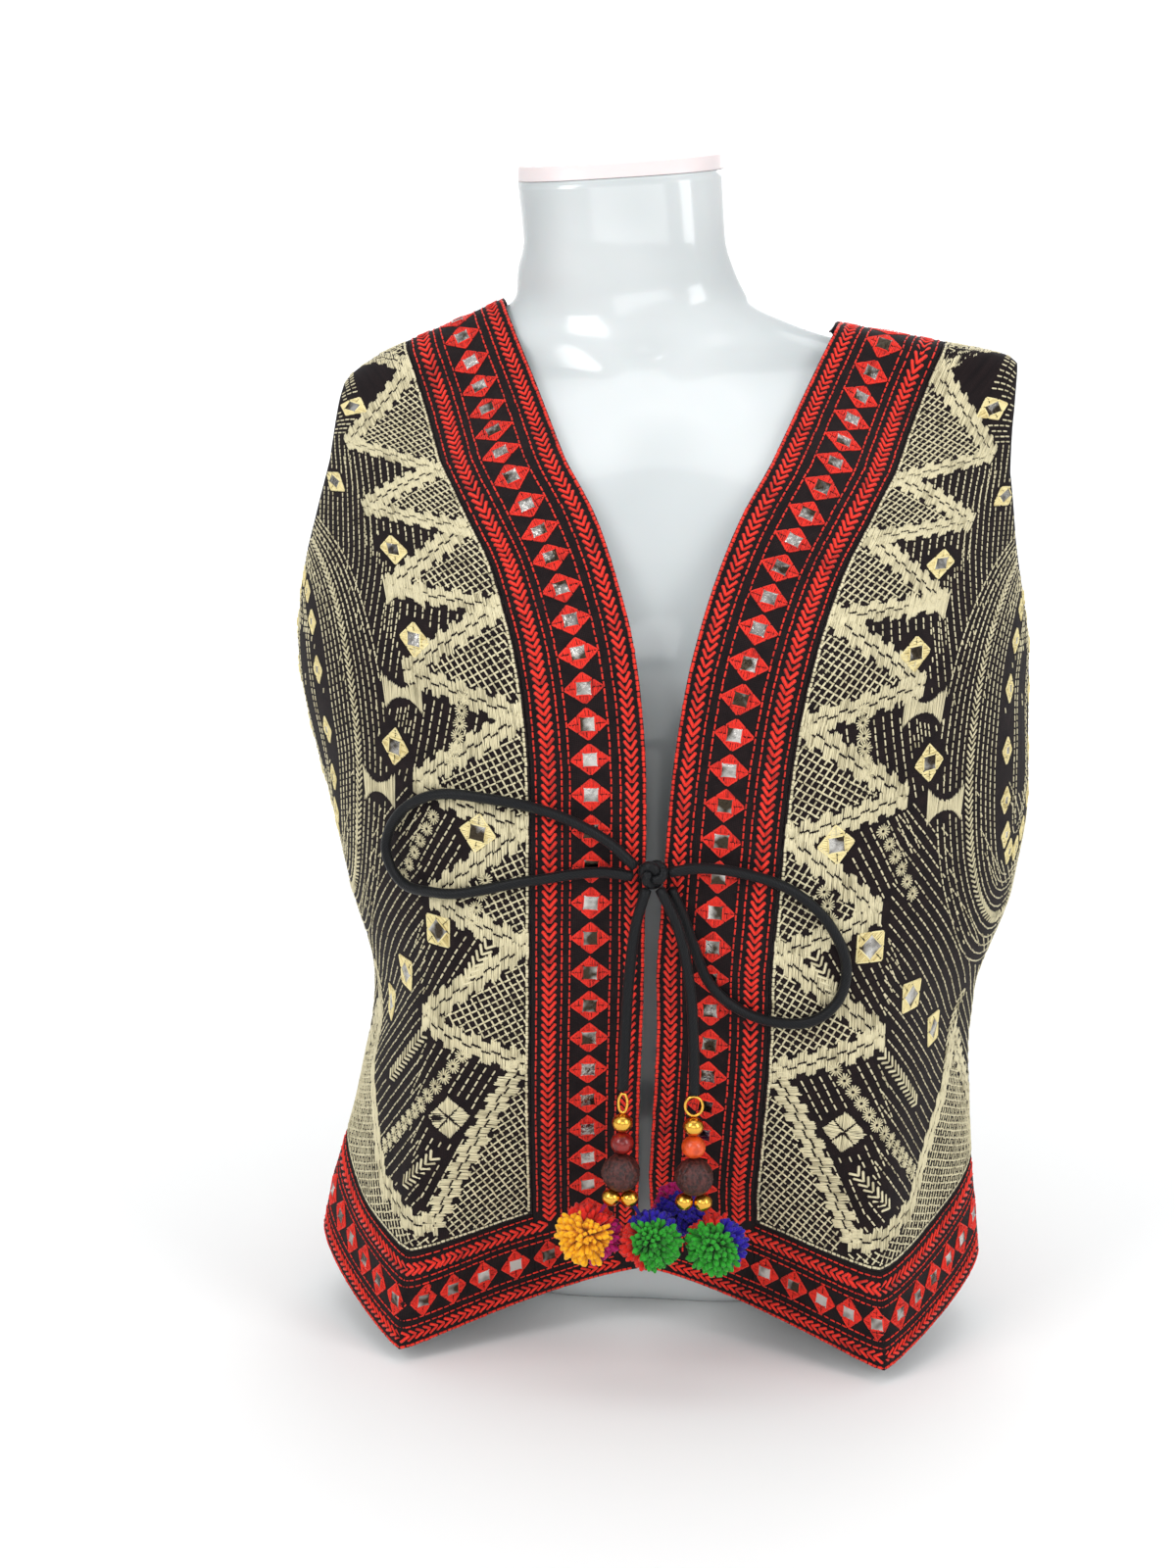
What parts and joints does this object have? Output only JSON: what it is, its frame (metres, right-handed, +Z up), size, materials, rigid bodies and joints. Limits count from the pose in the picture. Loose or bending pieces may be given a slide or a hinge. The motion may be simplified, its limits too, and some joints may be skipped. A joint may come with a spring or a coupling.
{
  "type": "embroidered gilet on dress form",
  "caption": "Short sleeveless open-front jacket with wide embroidered edge bands and pointed front hems, tied with a beaded pompom cord, on a limbless dress form.",
  "frame": {"origin": "on the flat underside of the dress form, on the floor, in line with the middle of the garment's front and back", "axes": "+Z up, the garment's front faces -Y, +X towards the wearer's left, which is the viewer's right from the front"},
  "size_m": [0.4024, 0.2817, 0.6409],
  "materials": {
    "embroidered_field": "black cotton worked all over in beige, yellow and red thread",
    "embroidered_band": "black cotton band worked in red thread with small mirrors",
    "form_plastic": "pale grey moulded plastic",
    "cap_plastic": "pinkish white plastic",
    "tie_cord": "black satin cord",
    "gold_metal": "polished gilt",
    "dark_red_bead": "glossy dark red",
    "orange_bead": "glossy orange",
    "ribbed_seed": "dark brown ridged seed",
    "yellow_wool": "yellow, red and magenta wool",
    "green_wool": "green and red wool",
    "blue_wool": "blue wool"
  },
  "bodies": {
    "root": {"back": "embroidered_field", "back_hem_band": "embroidered_band", "back_neck_band": "embroidered_band", "bead_gold_left": "gold_metal", "bead_gold_right": "gold_metal", "bead_orange_right": "orange_bead", "bead_red_left": "dark_red_bead", "bead_small_left_a": "gold_metal", "bead_small_left_b": "gold_metal", "bead_small_right_a": "gold_metal", "bead_small_right_b": "gold_metal", "clasp_left": "gold_metal", "clasp_right": "gold_metal", "dress_form": "form_plastic", "front_band_left": "embroidered_band", "front_band_right": "embroidered_band", "front_hem_band_left": "embroidered_band", "front_hem_band_right": "embroidered_band", "front_left": "embroidered_field", "front_right": "embroidered_field", "neck_cap": "cap_plastic", "pompom_blue": "blue_wool", "pompom_green_left": "green_wool", "pompom_green_right": "green_wool", "pompom_yellow": "yellow_wool", "seed_left": "ribbed_seed", "seed_right": "ribbed_seed", "tie_end_left": "tie_cord", "tie_end_right": "tie_cord", "tie_knot": "tie_cord", "tie_loop_left": "tie_cord", "tie_loop_right": "tie_cord"}
  },
  "joints": []
}
